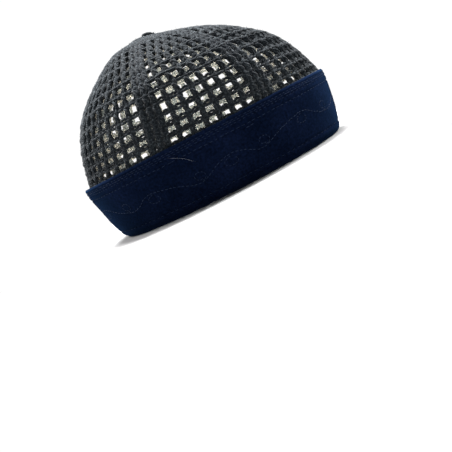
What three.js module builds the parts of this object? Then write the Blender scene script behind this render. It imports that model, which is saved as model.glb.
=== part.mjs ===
// A crocheted skullcap with a velvet band, standing on the fold of its band.
// Millimetres, +Z up, +X towards the front of the cap. The origin is on the ground, in the middle of
// the cap's length and width. Both pieces are soft walls round one hollow, which the head fills.

import * as THREE from "three";

const SIDES = 60; // points round the cap
const STEPS = 2; // rings for each stretch between two rows of a table

const CROWN_WALL = 3.0; // a crocheted yarn fabric
const BAND_WALL = 3.0; // velvet folded over a stiffening
const BAND_HEIGHT = 51.0;
const BAND_TOP_ROUND = 1.2; // how far the rounding of the upper edge reaches down
const BAND_TOP_RINGS = 3; // rings that carry the rounding over from the outer face to the inner one
const FOOT_WIDTH = 2.0; // the strip of the lower fold that lies flat on the ground

// The outer face of the band, from the ground up. Each row is an ellipse: its height, its half length
// along X, its half width along Y, and how far its middle lies towards the front.
const BAND_ROWS = [
  { height: 0.0, halfLength: 99.0, halfWidth: 79.5, forward: 3.4 },
  { height: 1.5, halfLength: 100.5, halfWidth: 81.0, forward: 3.1 },
  { height: 4.5, halfLength: 102.4, halfWidth: 82.6, forward: 2.6 },
  { height: 8.5, halfLength: 103.9, halfWidth: 83.9, forward: 2.2 },
  { height: 15.0, halfLength: 105.8, halfWidth: 85.4, forward: 1.8 },
  { height: 28.5, halfLength: 108.2, halfWidth: 87.3, forward: 1.3 },
  { height: 42.0, halfLength: 110.6, halfWidth: 89.0, forward: 0.4 },
  { height: BAND_HEIGHT - BAND_TOP_ROUND, halfLength: 112.0, halfWidth: 90.0, forward: 0.0 },
];

// The outer face of the crown, from its tucked edge to the top. backLift raises the back of a row and
// lowers its front by the same amount, because the crown is fuller behind its top.
const CROWN_ROWS = [
  { height: 39.0, halfLength: 106.2, halfWidth: 84.8, forward: 0.7, backLift: 0.0 },
  { height: 51.0, halfLength: 107.0, halfWidth: 86.0, forward: 1.0, backLift: 0.0 },
  { height: 64.0, halfLength: 103.9, halfWidth: 86.0, forward: 0.3, backLift: 0.0 },
  { height: 77.5, halfLength: 99.0, halfWidth: 84.8, forward: -0.8, backLift: 0.0 },
  { height: 90.0, halfLength: 92.4, halfWidth: 81.1, forward: -1.7, backLift: 0.3 },
  { height: 99.0, halfLength: 85.7, halfWidth: 76.9, forward: -2.5, backLift: 0.8 },
  { height: 108.0, halfLength: 76.0, halfWidth: 69.3, forward: -3.5, backLift: 1.4 },
  { height: 117.0, halfLength: 64.4, halfWidth: 59.4, forward: -4.1, backLift: 1.9 },
  { height: 123.6, halfLength: 54.0, halfWidth: 49.8, forward: -4.6, backLift: 2.5 },
  { height: 128.6, halfLength: 45.0, halfWidth: 41.5, forward: -5.3, backLift: 3.0 },
  { height: 133.2, halfLength: 33.0, halfWidth: 30.5, forward: -6.3, backLift: 2.8 },
  { height: 136.9, halfLength: 17.5, halfWidth: 16.2, forward: -6.0, backLift: 1.6 },
];

// The top of the crown, outside and inside. Outside, the first stitches make a small round knot.
const CROWN_KNOT_ROWS = [
  { height: 137.9, halfLength: 7.0, halfWidth: 6.8, forward: -5.4, backLift: 0.6 },
  { height: 139.4, halfLength: 4.2, halfWidth: 4.2, forward: -5.4, backLift: 0.3 },
];
const CROWN_KNOT_TOP = { height: 140.0, forward: -5.4 };
const CROWN_INSIDE_TOP = { height: 138.3, forward: -5.4 };

// The ring of points of one row, drawn in by an inset.
function ring(row, inset = 0) {
  return Array.from({ length: SIDES }, (_, side) => {
    const angle = (2 * Math.PI * side) / SIDES;
    return new THREE.Vector3(
      row.forward + (row.halfLength - inset) * Math.cos(angle),
      (row.halfWidth - inset) * Math.sin(angle),
      row.height - (row.backLift ?? 0) * Math.cos(angle),
    );
  });
}

// The rings of a smooth wall through a list of rings: at each side, one curve runs through them all.
function smooth(rings) {
  const curves = rings[0].map((_, side) => {
    const points = rings.map((each) => each[side]);
    return new THREE.CatmullRomCurve3(points, false, "centripetal").getPoints(
      STEPS * (rings.length - 1),
    );
  });
  return curves[0].map((_, step) => curves.map((curve) => curve[step]));
}

// The rings moved inwards by a wall's thickness, square to the surface at each point.
function inside(rings, wall) {
  const last = rings.length - 1;
  return rings.map((points, step) =>
    points.map((point, side) => {
      const before = points[(side + SIDES - 1) % SIDES];
      const after = points[(side + 1) % SIDES];
      const below = rings[Math.max(step - 1, 0)][side];
      const above = rings[Math.min(step + 1, last)][side];
      const around = new THREE.Vector3().subVectors(after, before);
      const upwards = new THREE.Vector3().subVectors(above, below);
      const outwards = around.cross(upwards).normalize();
      return point.clone().addScaledVector(outwards, -wall);
    }),
  );
}

// One closed body from a run of rings, which goes up the outside and down the inside. A ring of a
// single point closes that end, and with no such points the last ring joins the first.
function closedWall(rings) {
  const starts = [];
  const positions = [];
  for (const points of rings) {
    starts.push(positions.length / 3);
    for (const point of points) positions.push(...point.toArray());
  }
  const indices = [];
  const corner = (each, side) => starts[each] + (side % rings[each].length);
  const joined = rings[0].length > 1;
  const stretches = joined ? rings.length : rings.length - 1;
  for (let each = 0; each < stretches; each++) {
    const next = (each + 1) % rings.length;
    for (let side = 0; side < SIDES; side++) {
      const [a, b] = [corner(each, side), corner(each, side + 1)];
      const [c, d] = [corner(next, side + 1), corner(next, side)];
      if (a !== b) indices.push(a, b, c);
      if (c !== d) indices.push(a, c, d);
    }
  }
  const geometry = new THREE.BufferGeometry();
  geometry.setAttribute("position", new THREE.Float32BufferAttribute(positions, 3));
  geometry.setIndex(indices);
  geometry.computeVertexNormals();
  return geometry;
}

// The crown: up the outside to the knot, then from its inner top down the inside.
function crownGeometry() {
  const outer = smooth([...CROWN_ROWS, ...CROWN_KNOT_ROWS].map((row) => ring(row)));
  const inner = inside(smooth(CROWN_ROWS.map((row) => ring(row))), CROWN_WALL);
  const knotTop = new THREE.Vector3(CROWN_KNOT_TOP.forward, 0, CROWN_KNOT_TOP.height);
  const insideTop = new THREE.Vector3(
    CROWN_INSIDE_TOP.forward,
    0,
    CROWN_INSIDE_TOP.height - CROWN_WALL,
  );
  return closedWall([[insideTop], ...inner.reverse(), ...outer, [knotTop]]);
}

// The band: up the outside, over its rounded upper edge, down the inside and across the flat foot.
function bandGeometry() {
  const outer = smooth(BAND_ROWS.map((row) => ring(row)));
  const inner = smooth(
    BAND_ROWS.map((row, each) => ring(row, each === 0 ? FOOT_WIDTH : BAND_WALL)),
  );
  const lip = BAND_ROWS[BAND_ROWS.length - 1];
  const rounding = Array.from({ length: BAND_TOP_RINGS }, (_, each) => {
    const share = (each + 1) / (BAND_TOP_RINGS + 1);
    const height = lip.height + BAND_TOP_ROUND * Math.sin(Math.PI * share);
    return ring({ ...lip, height }, BAND_WALL * share);
  });
  return closedWall([...outer, ...rounding, ...inner.reverse()]);
}

const yarn = new THREE.MeshStandardMaterial({ color: 0x3d4044, roughness: 0.95, metalness: 0 });
const velvet = new THREE.MeshStandardMaterial({ color: 0x0c1423, roughness: 0.9, metalness: 0 });

const crown = new THREE.Mesh(crownGeometry(), yarn);
crown.name = "crown";

const band = new THREE.Mesh(bandGeometry(), velvet);
band.name = "band";

const cap = new THREE.Group();
cap.add(crown, band);

export default cap;
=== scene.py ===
import math

import bpy
import numpy as np
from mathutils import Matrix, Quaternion, Vector


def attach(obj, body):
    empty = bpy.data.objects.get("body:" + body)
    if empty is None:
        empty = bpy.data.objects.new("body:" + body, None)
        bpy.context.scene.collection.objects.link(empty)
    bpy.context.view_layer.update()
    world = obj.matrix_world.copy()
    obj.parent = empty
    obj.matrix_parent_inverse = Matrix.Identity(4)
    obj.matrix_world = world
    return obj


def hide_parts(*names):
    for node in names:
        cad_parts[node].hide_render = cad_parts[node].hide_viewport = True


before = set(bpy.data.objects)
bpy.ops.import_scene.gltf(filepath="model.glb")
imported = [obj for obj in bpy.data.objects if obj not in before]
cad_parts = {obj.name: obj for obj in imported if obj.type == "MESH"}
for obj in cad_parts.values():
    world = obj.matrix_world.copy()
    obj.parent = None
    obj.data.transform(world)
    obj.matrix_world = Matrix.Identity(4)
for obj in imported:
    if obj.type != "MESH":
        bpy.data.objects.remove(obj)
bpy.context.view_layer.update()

# ------------------------------------------------------------------------------------------------
# The camera. It stands level with the upper edge of the band, beside the cap, and is turned on its
# own axis, so that the cap leans back in the picture as it does on the tilted head of its wearer.

CAMERA_PLACE = Vector((0.0024, -0.580, 0.0522))
CAMERA_AIM = Vector((-0.0195, 0.0, -0.0311))
CAMERA_LEAN = math.radians(-27.46)
CAMERA_LENS = 54.16
FILM_WIDTH = 36.0

scene = bpy.context.scene
camera_data = bpy.data.cameras.new("camera")
camera_data.lens = CAMERA_LENS
camera_data.sensor_width = FILM_WIDTH
camera = bpy.data.objects.new("camera", camera_data)
scene.collection.objects.link(camera)
scene.camera = camera
camera.location = CAMERA_PLACE
camera.rotation_mode = "QUATERNION"
look = (CAMERA_AIM - CAMERA_PLACE).to_track_quat("-Z", "Y")
camera.rotation_quaternion = look @ Quaternion((0.0, 0.0, 1.0), CAMERA_LEAN)

# ------------------------------------------------------------------------------------------------
# The band. A strip of dark navy velvet, folded at its lower edge and turned in at its upper edge,
# round a stiffening. Sewing draws the pile down into shallow grooves along each row of stitches.

MM = 0.001
seed = np.random.default_rng(7)

# The band's outer face, in millimetres from the ground up: each row is an ellipse.
#   height, half length, half width, middle towards the front
BAND_ROWS = np.array((
    (0.0, 99.0, 79.5, 3.4),
    (1.5, 100.5, 81.0, 3.1),
    (4.5, 102.4, 82.6, 2.6),
    (8.5, 103.9, 83.9, 2.2),
    (15.0, 105.8, 85.4, 1.8),
    (28.5, 108.2, 87.3, 1.3),
    (42.0, 110.6, 89.0, 0.4),
    (51.0, 112.0, 90.0, 0.0),
))
BAND_WALL = 3.0
BAND_TOP = BAND_ROWS[-1, 0]
BAND_EDGE = 1.3  # how far the rounding of the fold reaches along the face
BAND_ROLL = 2.4  # the same for the upper edge, whose roll is fuller
BAND_RADIAN = 88.0  # the length of its face for a radian at the front and back, where it is least

STITCH_ROWS = (48.0, 45.0, 40.8, 7.3)  # heights of the sewn rows
FAINT_ROW = 46.6  # a row between the upper two, with a shallower groove
FAINT_SHARE = 0.4
TOP_TURN = (45.5, 1.1)  # from this height up, the face turns in by this much at the upper edge
GROOVE_DEPTH = 0.60
GROOVE_WIDTH = 0.60
HEM_BULGE = (4.2, 1.8, 0.35)  # the swelling above the fold: its height, width and how far it stands out
BUCKLE = 0.30  # the band isn't quite even: slow waves round it, and quicker ones half as high
SLOW_WAVES = (5, 0.6)  # how many, and their phase at the right side
QUICK_WAVES = (11, 9.0)  # how many, and in how many millimetres of height their phase moves on a radian

AROUND = 432
FACE_STEPS = 74
EDGE_STEPS = 11
INSIDE_STEPS = 18


def through_rows(rows, at):
    """Columns of a table at values of its first column: a cubic through the rows, whose slope at a
    row is the mean of the slopes on its two sides, each weighted by the length of the other side."""
    key, values = rows[:, 0], rows[:, 1:]
    gap = np.diff(key)[:, None]
    slope = np.diff(values, axis=0) / gap
    inner = (slope[:-1] * gap[1:] + slope[1:] * gap[:-1]) / (gap[1:] + gap[:-1])
    tilt = np.vstack((slope[:1], inner, slope[-1:]))
    row = np.clip(np.searchsorted(key, at, side="right") - 1, 0, len(key) - 2)
    length = gap[row]
    part = ((at - key[row])[..., None]) / length
    start = (1 + 2 * part) * (1 - part) ** 2 * values[row]
    end = part**2 * (3 - 2 * part) * values[row + 1]
    leave = part * (1 - part) ** 2 * length * tilt[row]
    arrive = part**2 * (part - 1) * length * tilt[row + 1]
    return start + end + leave + arrive


def unit(vectors):
    """Each vector divided by its length."""
    return vectors / np.maximum(np.linalg.norm(vectors, axis=-1, keepdims=True), 1e-12)


def velvet_relief(angle, height):
    """How far the pile stands out from the band's plain face: a narrow bell-shaped groove at each
    sewn row, a broad bell-shaped swelling between the lowest row and the fold, slow waves, and near
    the upper edge a turn inwards by the square of the way up it."""
    slow, start = SLOW_WAVES
    quick, leaning = QUICK_WAVES
    relief = BUCKLE * np.sin(slow * angle + start) * np.sin(math.pi * height / BAND_TOP)
    relief = relief + 0.5 * BUCKLE * np.sin(quick * angle + height / leaning)
    for row in STITCH_ROWS:
        relief = relief - GROOVE_DEPTH * np.exp(-(((height - row) / GROOVE_WIDTH) ** 2))
    relief = relief - FAINT_SHARE * GROOVE_DEPTH * np.exp(-(((height - FAINT_ROW) / GROOVE_WIDTH) ** 2))
    bend, turn = TOP_TURN
    relief = relief - turn * (np.maximum(height - bend, 0) / (BAND_TOP - bend)) ** 2
    middle, width, bulge = HEM_BULGE
    return relief + bulge * np.exp(-(((height - middle) / width) ** 2))


def band_face(angle, height, out):
    """A point on the band: an ellipse at each height, let in or out by a distance. The angle is 0 at
    the right side of the head and a quarter turn at the front."""
    angle, height, out = np.broadcast_arrays(angle, height, out)
    half_length, half_width, forward = np.moveaxis(through_rows(BAND_ROWS, height), -1, 0)
    x = forward + (half_length + out) * np.sin(angle)
    y = -(half_width + out) * np.cos(angle)
    return np.stack((x, y, height), axis=-1)


def grid_corners(rows, columns, rows_joined, columns_joined):
    """The row and the column of the four corners of each face of a grid of points. They run on past
    the last row or column where the grid is joined to its own start."""
    row = np.arange(rows - (not rows_joined))[:, None, None] + np.array((0, 0, 1, 1))
    column = np.arange(columns - (not columns_joined))[None, :, None] + np.array((0, 1, 1, 0))
    row, column = np.broadcast_arrays(row, column)
    return row.reshape(-1, 4), column.reshape(-1, 4)


def make_piece(name, points, faces, pattern, material):
    """A mesh from points in millimetres, arrays of faces and a pattern place for each face corner,
    which rides on the cap and takes its finish from a slot."""
    corners = np.concatenate([each.ravel() for each in faces])
    sizes = np.concatenate([np.full(len(each), each.shape[1]) for each in faces])
    mesh = bpy.data.meshes.new(name)
    mesh.vertices.add(points.size // 3)
    mesh.vertices.foreach_set("co", (points.reshape(-1) * MM).astype(np.float32))
    mesh.loops.add(len(corners))
    mesh.loops.foreach_set("vertex_index", corners.astype(np.int32))
    mesh.polygons.add(len(sizes))
    mesh.polygons.foreach_set("loop_start", (np.cumsum(sizes) - sizes).astype(np.int32))
    mesh.polygons.foreach_set("use_smooth", np.ones(len(sizes), dtype=bool))
    mesh.update(calc_edges=True)
    places = mesh.uv_layers.new(name="pattern")
    places.uv.foreach_set("vector", pattern.reshape(-1).astype(np.float32))
    mesh.materials.append(material)
    piece = bpy.data.objects.new(name, mesh)
    scene.collection.objects.link(piece)
    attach(piece, "root")
    return piece


def new_material(name):
    """An empty node material with its shader and output, and a function that adds a node to it."""
    material = bpy.data.materials.new(name)
    material.use_nodes = True
    tree = material.node_tree
    shader = tree.nodes["Principled BSDF"]

    def add(kind, inputs=(), **settings):
        node = tree.nodes.new(kind)
        for key, value in settings.items():
            setattr(node, key, value)
        for key, value in dict(inputs).items():
            if isinstance(value, bpy.types.NodeSocket):
                tree.links.new(value, node.inputs[key])
            else:
                node.inputs[key].default_value = value
        return node

    return material, tree, shader, add


def colour_steps(ramp, steps):
    """Sets a colour ramp's stops to (place, colour) pairs."""
    while len(ramp.elements) < len(steps):
        ramp.elements.new(0.5)
    for element, (place, colour) in zip(ramp.elements, steps):
        element.position = place
        element.color = (*colour, 1.0)


def velvet_material():
    """Short dense pile: nearly black navy, brushed in soft patches, with a fine grain of tufts and a
    blue bloom where it is seen edge on."""
    material, tree, shader, add = new_material("navy_velvet")
    place = add("ShaderNodeTexCoord").outputs["Object"]
    brushed = add("ShaderNodeTexNoise", {"Vector": place, "Scale": 38.0, "Detail": 3.0})
    tufts = add("ShaderNodeTexNoise", {"Vector": place, "Scale": 620.0, "Detail": 4.0})
    patches = add("ShaderNodeValToRGB", {"Fac": brushed.outputs["Fac"]})
    colour_steps(patches.color_ramp, ((0.30, (0.0010, 0.0022, 0.0070)), (0.72, (0.0020, 0.0038, 0.0120))))
    grain = add("ShaderNodeMapRange", {"Value": tufts.outputs["Fac"], 1: 0.3, 2: 0.7, 3: 0.55, 4: 1.5})
    colour = add(
        "ShaderNodeVectorMath",
        {"Vector": patches.outputs["Color"], "Scale": grain.outputs["Result"]},
        operation="SCALE",
    )
    tree.links.new(colour.outputs["Vector"], shader.inputs["Base Color"])
    bump = add("ShaderNodeBump", {"Strength": 0.55, "Distance": 0.0003, "Height": tufts.outputs["Fac"]})
    tree.links.new(bump.outputs["Normal"], shader.inputs["Normal"])
    shader.inputs["Roughness"].default_value = 0.95
    shader.inputs["Specular IOR Level"].default_value = 0.0
    shader.inputs["Sheen Weight"].default_value = 0.03
    shader.inputs["Sheen Roughness"].default_value = 0.45
    shader.inputs["Sheen Tint"].default_value = (0.16, 0.42, 0.95, 1.0)
    return material


def band_section():
    """The closed section of the band as heights and insets: up the face, over the upper edge on a
    half circle, down the inside, and round the fold on another half circle."""
    face = np.linspace(BAND_EDGE, BAND_TOP - BAND_ROLL, FACE_STEPS)
    turn = math.pi * np.arange(1, EDGE_STEPS) / EDGE_STEPS
    inside = np.linspace(BAND_TOP - BAND_ROLL, BAND_EDGE, INSIDE_STEPS)
    over = BAND_TOP - BAND_ROLL + BAND_ROLL * np.sin(turn)
    under = BAND_EDGE - BAND_EDGE * np.sin(turn)
    round_in = BAND_WALL * (1 - np.cos(turn)) / 2
    heights = np.concatenate((face, over, inside, under))
    insets = np.concatenate((0 * face, round_in, BAND_WALL + 0 * inside, BAND_WALL - round_in))
    return heights, insets


velvet = velvet_material()
section_heights, section_insets = band_section()
band_angles = 2 * math.pi * np.arange(AROUND) / AROUND
facing = 1 - section_insets / BAND_WALL
band_out = velvet_relief(band_angles, section_heights[:, None]) * facing[:, None] - section_insets[:, None]
band_points = band_face(band_angles, section_heights[:, None], band_out)
rows, columns = grid_corners(len(section_heights), AROUND, True, True)
band_faces = (rows % len(section_heights)) * AROUND + columns % AROUND
band_velvet = make_piece(
    "band_velvet",
    band_points,
    [band_faces],
    np.stack((columns / AROUND, rows / len(section_heights)), axis=-1),
    velvet,
)
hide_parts("band")

# ------------------------------------------------------------------------------------------------
# The sewn rows of the band. Three lie close under the upper edge, the middle one of them faint, one a
# little lower and one above the fold. Their blue-grey thread shows as short dashes sunk in the pile.

THREAD = 0.19
THREAD_SIDES = 5
DASH_STEPS = 5
DASH_SHARE = 0.74  # how much of each stitch lies on the face
DASH_RISE = 0.35  # in thread radii: how far a dash's middle lies out of the pile
DASH_DIP = 0.95  # the same for how much deeper its ends lie
DASH_TAPER = 0.45  # how much thinner its ends are
DASH_STEP = 0.7  # about how far apart the rings of a dash are
STITCH_UNEVEN = 0.06  # how far a stitch strays along its row, in stitch lengths
ROW_UNEVEN = 0.10  # how far it strays up or down
LINE_STEPS = 1500  # points of a line that runs all round the band
#   height, stitch length, thread radius
SEWN = (
    (48.0, 3.6, 0.19),
    (46.6, 3.6, 0.13),
    (45.0, 3.6, 0.19),
    (40.8, 4.4, 0.18),
    (7.3, 4.8, 0.17),
)
#   angle in degrees, height and length of the short row that locks the end of the thread
LOCK_STITCH = (15.0, 38.3, 6.0)
LOCK_STEPS = 20


def band_out_way(angle, height):
    """The direction square to the band's face: across the way round and the way up."""
    here = band_face(angle, height, 0.0)
    along = band_face(angle + 0.002, height, 0.0) - here
    upwards = band_face(angle, height + 0.2, 0.0) - here
    return unit(np.cross(along, upwards))


def tube_faces(count, rings, sides):
    """Faces of many open tubes of the same number of rings, with a cap at each end, and the ring and
    side of each corner."""
    ring, side = grid_corners(rings, sides, False, True)
    wall = ring * sides + side % sides
    caps = np.stack((np.arange(sides)[::-1], (rings - 1) * sides + np.arange(sides)))
    starts = (np.arange(count) * rings * sides)[:, None, None]
    ends = np.broadcast_to(np.array((0, rings - 1))[:, None], caps.shape)
    faces = [(wall + starts).reshape(-1, 4), (caps + starts).reshape(-1, sides)]
    return faces, (ring, side), (ends, caps % sides)


def tube_pattern(count, wall, caps, sides, step, shift):
    """A pattern place for each corner: how far it is along its tube, in millimetres, moved on by the
    tube's own shift, and which share of the way round it is."""
    parts = []
    for ring, side in (wall, caps):
        along = ring * step + shift[:, None, None]
        around = np.broadcast_to(side / sides, along.shape)
        parts.append(np.stack((along, around), axis=-1).reshape(-1, 2))
    return np.concatenate(parts)


def dashes(angle, height, radius):
    """Short threads on the band: each is a row of places on the face, thick in the middle and thin
    where its two ends dive into the pile, with a ring of points square to its way at each place."""
    share = np.linspace(-1, 1, DASH_STEPS)
    out_way = band_out_way(angle, height)
    middle = band_face(angle, height, velvet_relief(angle, height)) + out_way * (
        (DASH_RISE - DASH_DIP * share**4) * radius
    )[..., None]
    way = unit(np.gradient(middle, axis=1))
    side = unit(np.cross(out_way, way))
    up = np.cross(way, side)
    turn = 2 * math.pi * np.arange(THREAD_SIDES) / THREAD_SIDES
    thick = radius * (1 - DASH_TAPER * share**4)
    ring = np.cos(turn)[:, None] * side[:, :, None] + np.sin(turn)[:, None] * up[:, :, None]
    return middle[:, :, None] + thick[..., None, None] * ring


def dashes_along(angle, height, stitch, radius):
    """Cuts a line on the band into stitches: the line's length is added up from point to point, and
    each dash takes the first part of one stitch length."""
    line = band_face(angle, height, 0.0)
    length = np.concatenate(((0.0,), np.cumsum(np.linalg.norm(np.diff(line, axis=0), axis=1))))
    count = max(int(round(length[-1] / stitch)), 1)
    starts = length[-1] / count * (np.arange(count) + STITCH_UNEVEN * seed.standard_normal(count))
    part = np.linspace(0, DASH_SHARE, DASH_STEPS) * length[-1] / count
    at = starts[:, None] + part
    dash_height = np.interp(at, length, height) + ROW_UNEVEN * seed.standard_normal((count, 1))
    return dashes(np.interp(at, length, angle), dash_height, radius)


def thread_material(name, dark, light):
    """A twisted thread: two colours in slanting stripes along it, softened, with a low sheen."""
    material, tree, shader, add = new_material(name)
    pattern = add("ShaderNodeUVMap", uv_map="pattern").outputs["UV"]
    twist = add("ShaderNodeMapping", {"Vector": pattern, "Scale": (2.2, 2.0, 1.0), "Rotation": (0, 0, 0.6)})
    stripes = add("ShaderNodeTexWave", {"Vector": twist.outputs[0], "Scale": 1.0, "Distortion": 1.5})
    blend = add("ShaderNodeValToRGB", {"Fac": stripes.outputs["Fac"]})
    colour_steps(blend.color_ramp, ((0.2, dark), (0.8, light)))
    tree.links.new(blend.outputs["Color"], shader.inputs["Base Color"])
    shader.inputs["Roughness"].default_value = 0.8
    shader.inputs["Specular IOR Level"].default_value = 0.1
    return material


def thread_piece(name, rings, material):
    """One piece from many dashes of the same form."""
    count = len(rings)
    faces, wall, caps = tube_faces(count, DASH_STEPS, THREAD_SIDES)
    pattern = tube_pattern(count, wall, caps, THREAD_SIDES, DASH_STEP, seed.uniform(0, 50, count))
    return make_piece(name, rings, faces, pattern, material)


thread = thread_material("blue_grey_thread", (0.0033, 0.0065, 0.0175), (0.011, 0.0185, 0.038))
full_turn = np.linspace(0, 2 * math.pi, LINE_STEPS)
sewn_rings = [
    dashes_along(full_turn + seed.uniform(0, 1), np.full(full_turn.shape, height), stitch, radius)
    for height, stitch, radius in SEWN
]
lock_angle, lock_height, lock_length = LOCK_STITCH
lock_turn = math.radians(lock_angle) + np.linspace(0, lock_length / BAND_RADIAN, LOCK_STEPS)
sewn_rings.append(dashes_along(lock_turn, np.full(LOCK_STEPS, lock_height), lock_length / 2, THREAD))
thread_piece("band_stitches", np.concatenate(sewn_rings), thread)

# ------------------------------------------------------------------------------------------------
# The vine. A single line of embroidery runs round the middle of the band in even waves, with a small
# scroll in each bend, in the same thread as the sewn rows.

VINE_WAVES = 10
VINE_CREST = math.radians(4.5)
VINE_MIDDLE = 23.8
VINE_SWING = 4.2
VINE_SLANT = 0.5
VINE_SWELL = (2.0, 0.87)  # a slower wave of three to the round: its height and its lag
VINE_STITCH = 3.3
TROUGH_SHIFT = (1.5, 0.6)  # by how many times the slant the troughs move, and the phase of that
SCROLL_WIND = 0.4  # by how much of its size a scroll winds in
SCROLL_STEPS = 60
SCROLL_FINE = 0.8  # its stitches and thread, beside the vine's
#   scroll in each trough and each crest: distance of its middle from the vine, width, height, turns
TROUGH_SCROLL = (4.6, 8.4, 7.6, 1.1)
CREST_SCROLL = (-5.2, 11.0, 7.4, 0.9)


def vine_height(angle):
    """A cosine wave round the band whose phase runs ahead or behind between its crests, so that it
    falls fast in some places and climbs fast in others, and a slower, smaller wave that makes the
    bends uneven."""
    phase = VINE_WAVES * (angle - VINE_CREST)
    wave = np.cos(phase + VINE_SLANT * np.sin(3 * angle) * (1 - np.cos(phase)))
    swell, start = VINE_SWELL
    return VINE_MIDDLE + VINE_SWING * wave + swell * np.sin(3 * angle - start)


def scroll(angle, height, width, tall, turns, way):
    """A spiral that winds in to six tenths of its size over its turns."""
    turn = np.linspace(0, 2 * math.pi * turns, SCROLL_STEPS)
    size = 1 - SCROLL_WIND * turn / turn[-1]
    across = way * 0.5 * width * size * np.sin(turn)
    return angle + across / BAND_RADIAN, height - way * 0.5 * tall * size * np.cos(turn)


vine_rings = [dashes_along(full_turn, vine_height(full_turn), VINE_STITCH, THREAD)]
shift, shift_start = TROUGH_SHIFT
for wave in range(VINE_WAVES):
    crest = VINE_CREST + 2 * math.pi * wave / VINE_WAVES
    trough = crest + (math.pi - VINE_SLANT * shift * math.sin(3 * crest + shift_start)) / VINE_WAVES
    for middle, way, (away, width, tall, turns) in (
        (crest, -1, CREST_SCROLL),
        (trough, 1, TROUGH_SCROLL),
    ):
        curl_angle, curl_height = scroll(middle, vine_height(middle) + away, width, tall, turns, way)
        stitch, radius = SCROLL_FINE * VINE_STITCH, SCROLL_FINE * THREAD
        vine_rings.append(dashes_along(curl_angle, curl_height, stitch, radius))
thread_piece("band_vine", np.concatenate(vine_rings), thread)

# ------------------------------------------------------------------------------------------------
# The crown. A charcoal yarn crocheted in the round from the top: four close rounds, then eleven rounds
# of open mesh, in seven gores that three plain stitches side by side, a rib, part from each other.

# The crown's outer face, in millimetres: each row is an ellipse, lifted at the back.
#   round, height, half length, half width, middle towards the front, lift of the back
CROWN_ROWS = np.array((
    (0.0, 140.2, 0.0, 0.0, -5.8, 0.0),
    (0.75, 139.7, 8.6, 7.8, -6.2, 1.9),
    (1.75, 137.5, 17.5, 16.2, -6.3, 2.4),
    (3.4, 133.7, 33.0, 30.5, -6.3, 3.6),
    (4.65, 128.6, 45.0, 41.5, -5.3, 3.0),
    (5.7, 123.6, 54.0, 49.8, -4.6, 2.5),
    (6.8, 117.0, 64.4, 59.4, -4.1, 1.9),
    (8.15, 108.0, 76.0, 69.3, -3.5, 1.4),
    (9.35, 99.0, 85.7, 76.9, -2.5, 0.8),
    (10.33, 90.0, 92.4, 81.1, -1.7, 0.3),
    (11.65, 77.5, 99.0, 84.8, -0.8, 0.0),
    (13.27, 64.0, 103.9, 86.0, 0.3, 0.0),
    (14.95, 51.0, 107.0, 86.0, 1.0, 0.0),
    (16.2, 39.0, 106.2, 84.8, 0.7, 0.0),
))
FABRIC_MIDDLE = (2.3, 1.2)  # how far inside that face the middle of the fabric lies: crown, hem
HEM_ROUNDS = (14.4, 15.4)  # between these the one goes over into the other
ROUNDS = 16  # the last one is tucked inside the band and sewn to it
GORES = 7
FIRST_RING = 0.3  # in rounds: nothing but the knot lies nearer the top
FIRST_MESH_ROUND = 5
FULL_STITCHES = 16  # stitches of a gore once it has stopped growing

# Where the middle of each rib lies round the cap, in degrees, and how far the ribs and all that is
# between them lean back by each round, as the fabric is drawn down to the band.
RIBS = np.radians((-71.0, -15.4, 32.5, 83.8, 135.1, 186.4, 237.7, 289.0))
LEAN_ROUNDS = (0.0, 10.0, 11.0, 12.0, 13.0, 14.0, 15.0, 16.0)
LEAN = np.radians((0.0, 0.0, -0.4, -0.8, -1.4, -2.4, -3.6, -4.4))
RIB_STRETCH = 1.08  # rib stitches stand a little further apart than the others

YARN = 1.0
YARN_SIDES = 5
START_WAY = (0.31, 0.17, 0.94)  # a direction in which no strand of yarn starts


def crown_face(angle, rounds):
    """A point of the crown's outer face: on the ellipse of its round, lowered at the front and raised
    at the back by the sine of the angle."""
    angle, rounds = np.broadcast_arrays(angle, rounds)
    height, half_length, half_width, forward, lift = np.moveaxis(through_rows(CROWN_ROWS, rounds), -1, 0)
    x = forward + half_length * np.sin(angle)
    y = -half_width * np.cos(angle)
    return np.stack((x, y, height - lift * np.sin(angle)), axis=-1)


def lay_on_crown(angle, rounds, offset):
    """Places points given by an angle, a round and an offset in millimetres along the round, up the
    crown and out of it. The offset is measured from the middle of the fabric. No place lies nearer
    the top than the first ring of stitches, which the knot covers."""
    rounds = np.maximum(rounds, FIRST_RING)
    here = crown_face(angle, rounds)
    along = unit(crown_face(angle + 0.002, rounds) - here)
    out = unit(np.cross(along, crown_face(angle, rounds - 0.02) - here))
    up = np.cross(out, along)
    across, upwards, outwards = np.moveaxis(offset, -1, 0)
    outwards = outwards - np.interp(rounds, HEM_ROUNDS, FABRIC_MIDDLE)
    return here + along * across[..., None] + up * upwards[..., None] + out * outwards[..., None]


def gore_angle(gore, stitch, stitches, rounds):
    """The angle of a stitch: its number's share of the gore, with the two next to each rib spread a
    little, plus the lean of its round."""
    edge = min(2.0, stitches / 2)
    spread = edge * RIB_STRETCH / stitches if stitches > 4 else edge / stitches
    share = np.interp(stitch, (0, edge, stitches - edge, stitches), (0, spread, 1 - spread, 1))
    start, end = RIBS[gore], RIBS[np.asarray(gore) + 1]
    return start + (end - start) * share + np.interp(rounds, LEAN_ROUNDS, LEAN)


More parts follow.
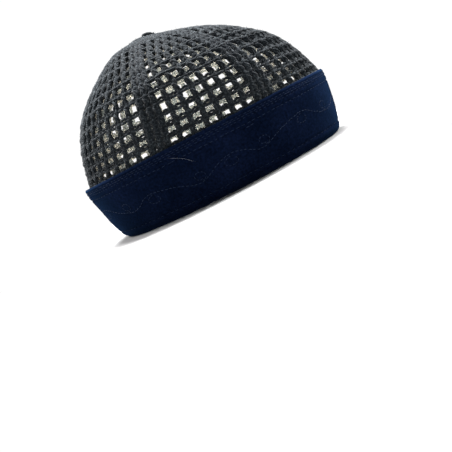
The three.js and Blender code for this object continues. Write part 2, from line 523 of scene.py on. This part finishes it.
def through_points(points, count, drift=None):
    """A smooth path through given points, sampled evenly: each stretch is a cubic whose ends run parallel to
    the line between the neighbours. With a drift it repeats, moved on by the drift."""
    total = len(points)
    if drift is None:
        at = np.linspace(0, total - 1, count)
        step = np.minimum(at.astype(int), total - 2)
        number = np.clip(step[:, None] + np.arange(-1, 3), 0, total - 1)
        near = points[number]
    else:
        at = np.arange(count) * total / count
        step = at.astype(int)
        number = step[:, None] + np.arange(-1, 3)
        near = points[number % total] + (number // total)[..., None] * drift
    t = (at - step)[:, None]
    before, start, end, after = np.moveaxis(near, 1, 0)
    return 0.5 * (
        2 * start
        + (end - before) * t
        + (2 * before - 5 * start + 4 * end - after) * t**2
        + (3 * start - before - 3 * end + after) * t**3
    )


def skin(path, radius, drift=None):
    """Rings of offsets round a path: a direction square to the path is carried along it, dropping at
    each step what has come to lie along the path. On a path that repeats, the turn that is left over
    at its end is shared out along it."""
    way = unit(np.gradient(path, axis=0))
    if drift is not None:
        way[0] = unit(path[1] - path[-1] + drift)
        way[-1] = unit(path[0] - path[-2] + drift)
    side = [unit(np.cross(way[0], START_WAY))]
    for direction in way[1:]:
        side.append(unit(side[-1] - direction * (side[-1] @ direction)))
    side = np.array(side)
    up = np.cross(way, side)
    left_over = 0.0
    if drift is not None:
        last = unit(side[-1] - way[0] * (side[-1] @ way[0]))
        left_over = math.atan2(last @ up[0], last @ side[0])
    turn = 2 * math.pi * np.arange(YARN_SIDES) / YARN_SIDES
    turn = turn - left_over * np.arange(len(path))[:, None] / len(path)
    return radius * (np.cos(turn)[..., None] * side[:, None] + np.sin(turn)[..., None] * up[:, None])


def strands_on_crown(top, low, half, rounds, path, radius):
    """Lays one strand of yarn at many stitches. The path's three columns are half widths across, the
    share of the round from its upper to its lower edge, and millimetres out of the fabric. Angles
    and half widths change evenly from the stitch's top to its low end."""
    across, share, out = path.T
    size = np.stack((across * HALF_STITCH, -share * TALL_STITCH, out), axis=-1)
    rings = skin(size, radius)
    angle = top[:, None] + (low - top)[:, None] * share
    angle = angle + across * (half[:, :1] + (half[:, 1:] - half[:, :1]) * share)
    offset = np.broadcast_to(rings, (len(top), *rings.shape)).copy()
    offset[..., 2] += out[:, None]
    return lay_on_crown(angle[..., None], (rounds[:, None] - 1 + share)[..., None], offset)


def yarn_material():
    """Soft heathered acrylic: charcoal fibres with some slate and a few pale ones, drawn out along
    the yarn, plies that turn round it, and a fuzz that catches the light edge on."""
    material, tree, shader, add = new_material("charcoal_yarn")
    pattern = add("ShaderNodeUVMap", uv_map="pattern").outputs["UV"]
    place = add("ShaderNodeTexCoord").outputs["Object"]
    slant = add("ShaderNodeMapping", {"Vector": pattern, "Scale": (0.55, 5.0, 1.0), "Rotation": (0, 0, 0.5)})
    fibres = add("ShaderNodeTexNoise", {"Vector": slant.outputs[0], "Scale": 1.6, "Detail": 4.0})
    heather = add("ShaderNodeTexNoise", {"Vector": place, "Scale": 620.0, "Detail": 2.0})
    worn = add("ShaderNodeTexNoise", {"Vector": place, "Scale": 24.0, "Detail": 2.0})
    mix = add(
        "ShaderNodeMix", {"Factor": 0.5, "A": fibres.outputs["Fac"], "B": heather.outputs["Fac"]}
    )
    colours = add("ShaderNodeValToRGB", {"Fac": mix.outputs["Result"]})
    colour_steps(
        colours.color_ramp,
        (
            (0.39, (0.0026, 0.0036, 0.0048)),
            (0.49, (0.0053, 0.0071, 0.0089)),
            (0.56, (0.0113, 0.0141, 0.0167)),
            (0.65, (0.0340, 0.0395, 0.0430)),
        ),
    )
    shade = add("ShaderNodeMapRange", {"Value": worn.outputs["Fac"], 1: 0.3, 2: 0.7, 3: 0.8, 4: 1.2})
    colour = add(
        "ShaderNodeVectorMath",
        {"Vector": colours.outputs["Color"], "Scale": shade.outputs["Result"]},
        operation="SCALE",
    )
    tree.links.new(colour.outputs["Vector"], shader.inputs["Base Color"])
    plies = add("ShaderNodeMapping", {"Vector": pattern, "Scale": (0.45, 2.0, 1.0), "Rotation": (0, 0, 0.42)})
    twist = add("ShaderNodeTexWave", {"Vector": plies.outputs[0], "Scale": 1.0, "Distortion": 1.2})
    relief = add("ShaderNodeMix", {"Factor": 0.4, "A": twist.outputs["Fac"], "B": fibres.outputs["Fac"]})
    bump = add("ShaderNodeBump", {"Strength": 0.75, "Distance": 0.0004, "Height": relief.outputs["Result"]})
    tree.links.new(bump.outputs["Normal"], shader.inputs["Normal"])
    shader.inputs["Roughness"].default_value = 0.95
    shader.inputs["Specular IOR Level"].default_value = 0.0
    shader.inputs["Sheen Weight"].default_value = 0.07
    shader.inputs["Sheen Roughness"].default_value = 0.5
    return material


def yarn_piece(name, groups):
    """One piece from groups of strands: each group is an array of open tubes of the same form."""
    points, faces, patterns, first = [], [[], []], [[], []], 0
    for rings in groups:
        count, steps, sides = rings.shape[:3]
        (wall, caps), wall_grid, cap_grid = tube_faces(count, steps, sides)
        shift = seed.uniform(0, 400, count)
        pattern = tube_pattern(count, wall_grid, cap_grid, sides, STRAND_STEP, shift)
        for kind, part in enumerate((wall, caps)):
            faces[kind].append(part + first)
        patterns[0].append(pattern[: wall.size])
        patterns[1].append(pattern[wall.size :])
        points.append(rings.reshape(-1, 3))
        first += count * steps * sides
    return make_piece(
        name,
        np.concatenate(points),
        [np.concatenate(each) for each in faces],
        np.concatenate([*patterns[0], *patterns[1]]),
        yarn,
    )


# A stitch's usual size, which a strand's rings are worked out for.
HALF_STITCH = 2.3
TALL_STITCH = 8.8
#   half widths across, share of the round, millimetres out
POST_STRAND = np.array((
    (-0.20, 1.00, -0.2),
    (-0.62, 0.85, 0.5),
    (-0.15, 0.62, 0.9),
    (0.55, 0.40, 0.6),
    (0.60, 0.15, 0.7),
    (0.40, -0.06, 0.8),
    (0.25, -0.15, 0.0),
    (0.00, -0.17, -0.6),
    (-0.40, 0.08, -0.8),
    (-0.62, 0.35, -0.4),
    (-0.62, 0.62, -0.5),
    (-0.10, 0.85, -0.8),
    (0.20, 1.00, 0.2),
))
POST_WRAP = np.array((
    (-0.40, 0.62, -1.0),
    (-0.72, 0.40, 0.0),
    (-0.55, 0.26, 1.0),
    (0.05, 0.44, 1.65),
    (0.62, 0.66, 1.0),
    (0.72, 0.74, 0.0),
    (0.40, 0.70, -1.0),
))
POST_HEART = np.array((
    (0.25, -0.05, 0.1),
    (-0.20, 0.30, 0.1),
    (0.25, 0.65, -0.1),
    (0.00, 0.98, 0.0),
))
STRAND_STEP = 1.2  # about how far apart the rings of a strand are
STRAND_STEPS = 22
WRAP_STEPS = 10
HEART_STEPS = 6
OPENING_ROUNDS = (7, 11)  # between these the mesh grows more open
HEART_YARN = (2.4, 1.5)  # before and after that
CLOSE_HEART_YARN = 2.3
MESH_POST_SHARE = (0.66, 0.44)  # half a post's width, in stitch spacings: before and after that
CLOSE_POST_SHARE = 0.68
POST_UNEVEN = 0.05  # how far a mesh post strays along its round, in stitch spacings

#   the chain that closes each stitch: spacings along, millimetres across the braid, millimetres deep
CHAIN_LINK = np.array((
    (0.00, 0.40, -0.9),
    (0.38, 1.35, 0.3),
    (0.80, 1.55, 0.5),
    (1.25, 0.65, -0.1),
    (1.25, -0.65, -0.1),
    (0.80, -1.55, 0.5),
    (0.38, -1.35, 0.3),
    (0.00, -0.40, -0.9),
    (0.50, 0.00, -1.3),
))
CHAIN_STEPS = 15
CHAIN_STITCH = 5.0  # a link's usual length
CHAIN_YARN = 1.05
CHAIN_TILT = math.radians(22.0)
CHAIN_UNEVEN = 0.40  # how far a link strays across the braid or out of it
LOWER_CHAINS = 10  # the first round whose chain belongs to the lower piece

yarn = yarn_material()


def chain_round(angles, round_number):
    """The chain that runs along the lower edge of one round: one link is a strand that goes forward on
    one side, under the next link, back on the other side, and under itself. Its plane is tipped out.
    Each link strays by a random amount, which passes evenly over into the next link's."""
    links = len(angles)
    drift = np.array((CHAIN_STITCH, 0.0, 0.0))
    path = through_points(CHAIN_LINK * (CHAIN_STITCH, 1.0, 1.0), CHAIN_STEPS, drift)
    rings = skin(path, CHAIN_YARN, drift)
    following = np.append(angles[1:], angles[0] + 2 * math.pi)
    share = path[:, 0] / CHAIN_STITCH
    angle = angles[:, None] + (following - angles)[:, None] * share
    offset = np.broadcast_to(rings, (links, *rings.shape)).copy()
    offset[..., 1:] += path[:, None, 1:]
    lean, sunk = math.cos(CHAIN_TILT), math.sin(CHAIN_TILT)
    across, deep = offset[..., 1].copy(), offset[..., 2].copy()
    offset[..., 1] = across * lean + deep * sunk
    offset[..., 2] = deep * lean - across * sunk
    uneven = CHAIN_UNEVEN * seed.standard_normal((links, 2))
    drift_on = np.linspace(0, 1, CHAIN_STEPS, endpoint=False)[None, :, None]
    wander = uneven[:, None] * (1 - drift_on) + np.roll(uneven, -1, axis=0)[:, None] * drift_on
    offset[..., 1:] += wander[:, :, None]
    placed = lay_on_crown(angle[..., None], np.full((links, 1, 1), float(round_number)), offset)
    return placed.reshape(1, links * CHAIN_STEPS, YARN_SIDES, 3)


posts = {"centre": [], "ribs": [], "mesh": [], "hem": []}
chains = {"upper": [], "lower": []}
for number in range(1, ROUNDS + 1):
    stitches = min(2 * number, FULL_STITCHES)
    gore = np.repeat(np.arange(GORES), stitches)
    stitch = np.tile(np.arange(stitches), GORES)
    spacing = (RIBS[gore + 1] - RIBS[gore]) / stitches
    in_rib = (stitch <= 1) | (stitch == stitches - 1)
    is_chain = ~in_rib & (stitch % 2 == 0) & (FIRST_MESH_ROUND <= number) & (number < ROUNDS)
    drawn = gore_angle(gore, stitch, stitches, number - 1.0)
    low = gore_angle(gore, stitch, stitches, float(number))
    loose = ~in_rib & (number >= FIRST_MESH_ROUND)
    stray = POST_UNEVEN * spacing * seed.standard_normal(len(stitch)) * loose
    mesh_share = np.interp(number, OPENING_ROUNDS, MESH_POST_SHARE)
    share = np.where(loose & (number < ROUNDS), mesh_share, CLOSE_POST_SHARE)
    half = np.stack((share * spacing, share * spacing), axis=-1)
    kind = np.where(in_rib, "ribs", "mesh")
    if number < FIRST_MESH_ROUND:
        kind = np.full(len(stitch), "centre")
    if number == ROUNDS:
        kind = np.full(len(stitch), "hem")
    for group in posts:
        pick = (kind == group) & ~is_chain
        if not pick.any():
            continue
        where = (drawn[pick] + stray[pick], low[pick] + stray[pick], half[pick])
        each = np.full(pick.sum(), float(number))
        heart = np.interp(number, OPENING_ROUNDS, HEART_YARN)
        shapes = [
            (POST_STRAND, STRAND_STEPS, YARN),
            (POST_WRAP, WRAP_STEPS, YARN),
            (POST_HEART, HEART_STEPS, heart if group == "mesh" else CLOSE_HEART_YARN),
        ]
        if group == "ribs":  # one more strand, the mirror image of the first
            shapes.append((POST_STRAND * (-1, 1, -1), STRAND_STEPS, YARN))
        for shape, steps, radius in shapes:
            path = through_points(shape, steps)
            posts[group].append(strands_on_crown(*where, each, path, radius))
    side = "upper" if number < LOWER_CHAINS else "lower"
    chains[side].append(chain_round(low - 0.5 * spacing, number))

# The knot covers the ring that the first stitches leave open.
KNOT_TURNS = 2.3
KNOT_RADIUS = 4.6
KNOT_PLACE = (-4.2, 0.0, 140.5)  # the middle of the coil's outer turn
KNOT_SLOPE = 0.25  # it is tipped towards the back, by this much for each millimetre
KNOT_RISE = 0.9  # how much higher its inner end lies
KNOT_WINDS_IN = 0.85  # by how much of its radius
KNOT_END = (0.97, 2.0)  # from this share of its length on, the strand lies this much lower
KNOT_YARN = 1.35
KNOT_STEPS = 60


def closing_knot():
    """The knot at the very top: one strand that winds inwards on a tipped spiral and climbs evenly to
    its middle, where its end goes down through the fabric."""
    share = np.linspace(0, 1, KNOT_STEPS)
    turn = 2 * math.pi * KNOT_TURNS * share
    ring = KNOT_RADIUS * (1 - KNOT_WINDS_IN * share)
    x, y = ring * np.cos(turn), ring * np.sin(turn)
    end, drop = KNOT_END
    tall = KNOT_RISE * share - KNOT_SLOPE * x - drop * (share > end)
    path = np.stack((x, y, tall), axis=-1)
    return (path[:, None] + skin(path, KNOT_YARN) + KNOT_PLACE)[None]


posts["centre"].append(closing_knot())
for group, strands in posts.items():
    piece = yarn_piece(f"crown_{group}", strands)
    if group == "mesh":
        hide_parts("crown")
for side, strands in chains.items():
    yarn_piece(f"crown_chains_{side}", strands)

# ------------------------------------------------------------------------------------------------
# The fuzz. Fine fibre ends that have worked out of the soft yarn all over the crown, and stand off it
# in every direction.

HAIRS = 13500
HAIR_LONG = (0.9, 2.7)
HAIR_THICK = 0.095
HAIR_SLANT = 0.9  # how strongly chance turns a fibre away from straight out
HAIR_BEND = 0.45  # how far its tip bends aside, as a share of its length
HAIR_TAPER = 0.8  # how much thinner its tip is
HAIR_STEP = 0.5  # about how far apart the rings of a fibre are
HAIR_STEPS = 3
HAIR_SIDES = 3


def hairs(strands, count):
    """Thin tapering fibres: each starts at a random point of the yarn's skin, leaves it outwards with
    a random slant, and bends along a parabola."""
    rings = np.concatenate([each.reshape(-1, *each.shape[-2:]) for each in strands])
    ring = seed.integers(0, len(rings), count)
    start = rings[ring, seed.integers(0, rings.shape[1], count)]
    away = unit(unit(start - rings[ring].mean(axis=1)) + HAIR_SLANT * seed.standard_normal((count, 3)))
    curl = unit(seed.standard_normal((count, 3)))
    along = np.linspace(0, 1, HAIR_STEPS)[None, :, None]
    long = seed.uniform(*HAIR_LONG, (count, 1, 1))
    path = start[:, None] + long * (away[:, None] * along + HAIR_BEND * curl[:, None] * along**2)
    side = unit(np.cross(away, curl))
    up = np.cross(away, side)
    turn = 2 * math.pi * np.arange(HAIR_SIDES) / HAIR_SIDES
    ring_way = np.cos(turn)[:, None] * side[:, None] + np.sin(turn)[:, None] * up[:, None]
    thick = HAIR_THICK * (1 - HAIR_TAPER * along)
    return path[:, :, None] + thick[..., None] * ring_way[:, None]


def fuzz_material():
    """Single fibres: matt grey, some darker and some paler."""
    material, tree, shader, add = new_material("yarn_fuzz")
    pattern = add("ShaderNodeUVMap", uv_map="pattern").outputs["UV"]
    tones = add("ShaderNodeTexNoise", {"Vector": pattern, "Scale": 0.8})
    blend = add("ShaderNodeValToRGB", {"Fac": tones.outputs["Fac"]})
    colour_steps(blend.color_ramp, ((0.35, (0.006, 0.008, 0.010)), (0.65, (0.052, 0.058, 0.062))))
    tree.links.new(blend.outputs["Color"], shader.inputs["Base Color"])
    shader.inputs["Roughness"].default_value = 0.9
    return material


every_strand = [each for group in (*posts.values(), *chains.values()) for each in group]
fuzz_rings = hairs(every_strand, HAIRS)
fuzz_faces, fuzz_wall, fuzz_caps = tube_faces(HAIRS, HAIR_STEPS, HAIR_SIDES)
fuzz_shift = seed.uniform(0, 900, HAIRS)
fuzz_pattern = tube_pattern(HAIRS, fuzz_wall, fuzz_caps, HAIR_SIDES, HAIR_STEP, fuzz_shift)
make_piece("crown_fuzz", fuzz_rings, fuzz_faces, fuzz_pattern, fuzz_material())

# ------------------------------------------------------------------------------------------------
# The lint. A single pale fibre that clings to the velvet on the right side, as fibres do on any dark
# pile.

#   degrees round the band, height
LINT = np.array(((-17.0, 45.3), (-14.5, 42.8), (-12.0, 40.1), (-9.9, 36.8), (-8.1, 33.4)))
LINT_THICK = 0.05
LINT_LIFT = 0.2  # how far above the pile it lies
LINT_STEPS = 40


def lint_fibre():
    """A fibre through its marks on the band, a little above the pile, thickest in the middle by a half
    sine wave."""
    angle, height = np.moveaxis(through_points(LINT * (math.pi / 180, 1.0), LINT_STEPS), -1, 0)
    path = band_face(angle, height, velvet_relief(angle, height) + LINT_LIFT)
    thick = np.sin(np.linspace(0.1, math.pi - 0.1, LINT_STEPS))
    return path[:, None] + skin(path, LINT_THICK) * thick[:, None, None]


def lint_material():
    """Undyed fibre: a matt off-white."""
    material, _, shader, _ = new_material("pale_lint")
    shader.inputs["Base Color"].default_value = (0.18, 0.19, 0.22, 1.0)
    shader.inputs["Roughness"].default_value = 0.9
    return material


lint_faces, lint_wall, lint_caps = tube_faces(1, LINT_STEPS, YARN_SIDES)
lint_pattern = tube_pattern(1, lint_wall, lint_caps, YARN_SIDES, 1.0, np.zeros(1))
make_piece("band_lint", lint_fibre(), lint_faces, lint_pattern, lint_material())

# ------------------------------------------------------------------------------------------------
# The room. A pale grey floor that strong light brings to white, a plain white sky, a high soft sun from
# a little behind the cap, soft lamps round it, and a warm lamp in its hollow that lights the far wall, so
# that the holes between the stitches read light.

FLOOR_REACH = 0.25
FLOOR_PALE = 0.19
SKY_LIGHT = 0.10  # how much the white sky lights the cap
SKY_SEEN = 1.04  # how bright it is where the camera sees it
DAYLIGHT = 27.0
DAYLIGHT_LEAN = math.radians(18.0)  # how far it comes from behind the cap
DAYLIGHT_SPREAD = math.radians(26.0)
HOLLOW_LAMP_SIZE = (0.13, 0.03)
HOLLOW_LAMP_SPREAD = math.radians(75.0)
HOLLOW_LAMP_COLOUR = (1.0, 0.86, 0.65)

floor_mesh = bpy.data.meshes.new("floor")
floor_mesh.from_pydata(
    [(x * FLOOR_REACH, y * FLOOR_REACH, -0.0002) for x, y in ((-1, -1), (1, -1), (1, 1), (-1, 1))],
    [],
    [(0, 1, 2, 3)],
)
floor = bpy.data.objects.new("floor", floor_mesh)
scene.collection.objects.link(floor)
floor_material, _, floor_shader, _ = new_material("pale_floor")
floor_shader.inputs["Base Color"].default_value = (FLOOR_PALE, FLOOR_PALE, FLOOR_PALE, 1.0)
floor_shader.inputs["Roughness"].default_value = 1.0
floor_shader.inputs["Specular IOR Level"].default_value = 0.0
floor_mesh.materials.append(floor_material)

world = bpy.data.worlds.new("room")
world.use_nodes = True
sky = world.node_tree
seen = sky.nodes.new("ShaderNodeLightPath")
strength = sky.nodes.new("ShaderNodeMapRange")
strength.inputs["To Min"].default_value = SKY_LIGHT
strength.inputs["To Max"].default_value = SKY_SEEN
sky.links.new(seen.outputs["Is Camera Ray"], strength.inputs["Value"])
sky.nodes["Background"].inputs["Color"].default_value = (1.0, 1.0, 1.0, 1.0)
sky.links.new(strength.outputs["Result"], sky.nodes["Background"].inputs["Strength"])
scene.world = world
scene.view_settings.view_transform = "Standard"

overhead = bpy.data.lights.new("lamp_overhead", "SUN")
overhead.energy = DAYLIGHT
overhead.angle = DAYLIGHT_SPREAD
daylight = bpy.data.objects.new("lamp_overhead", overhead)
scene.collection.objects.link(daylight)
daylight.rotation_euler = (-DAYLIGHT_LEAN, 0.0, 0.0)


def soft_lamp(name, place, aim, size, power):
    """An area lamp at a place in metres, square and turned to face a point."""
    data = bpy.data.lights.new(name, "AREA")
    data.size = size
    data.energy = power
    lamp = bpy.data.objects.new(name, data)
    scene.collection.objects.link(lamp)
    lamp.location = place
    lamp.rotation_mode = "QUATERNION"
    lamp.rotation_quaternion = (Vector(aim) - Vector(place)).to_track_quat("-Z", "Y")
    return lamp


soft_lamp("lamp_before", (0.0, -1.2, 0.10), (0.0, 0.0, 0.05), 1.2, 18.0)
soft_lamp("lamp_behind", (0.0, 0.9, 1.2), (0.0, 0.0, 0.1), 0.8, 20.0)
long, tall = HOLLOW_LAMP_SIZE
within = soft_lamp("lamp_within", (0.0, -0.05, 0.03), (0.0, 0.05, 0.075), long, 1.95)
within.visible_camera = False
within.data.shape = "RECTANGLE"
within.data.size_y = tall
within.data.spread = HOLLOW_LAMP_SPREAD
within.data.color = HOLLOW_LAMP_COLOUR
soft_lamp("lamp_behind_left", (-1.0, 0.30, 0.9), (0.0, 0.0, 0.06), 0.7, 44.0)
soft_lamp("lamp_behind_right", (1.0, 0.30, 0.9), (0.0, 0.0, 0.06), 0.7, 74.0)
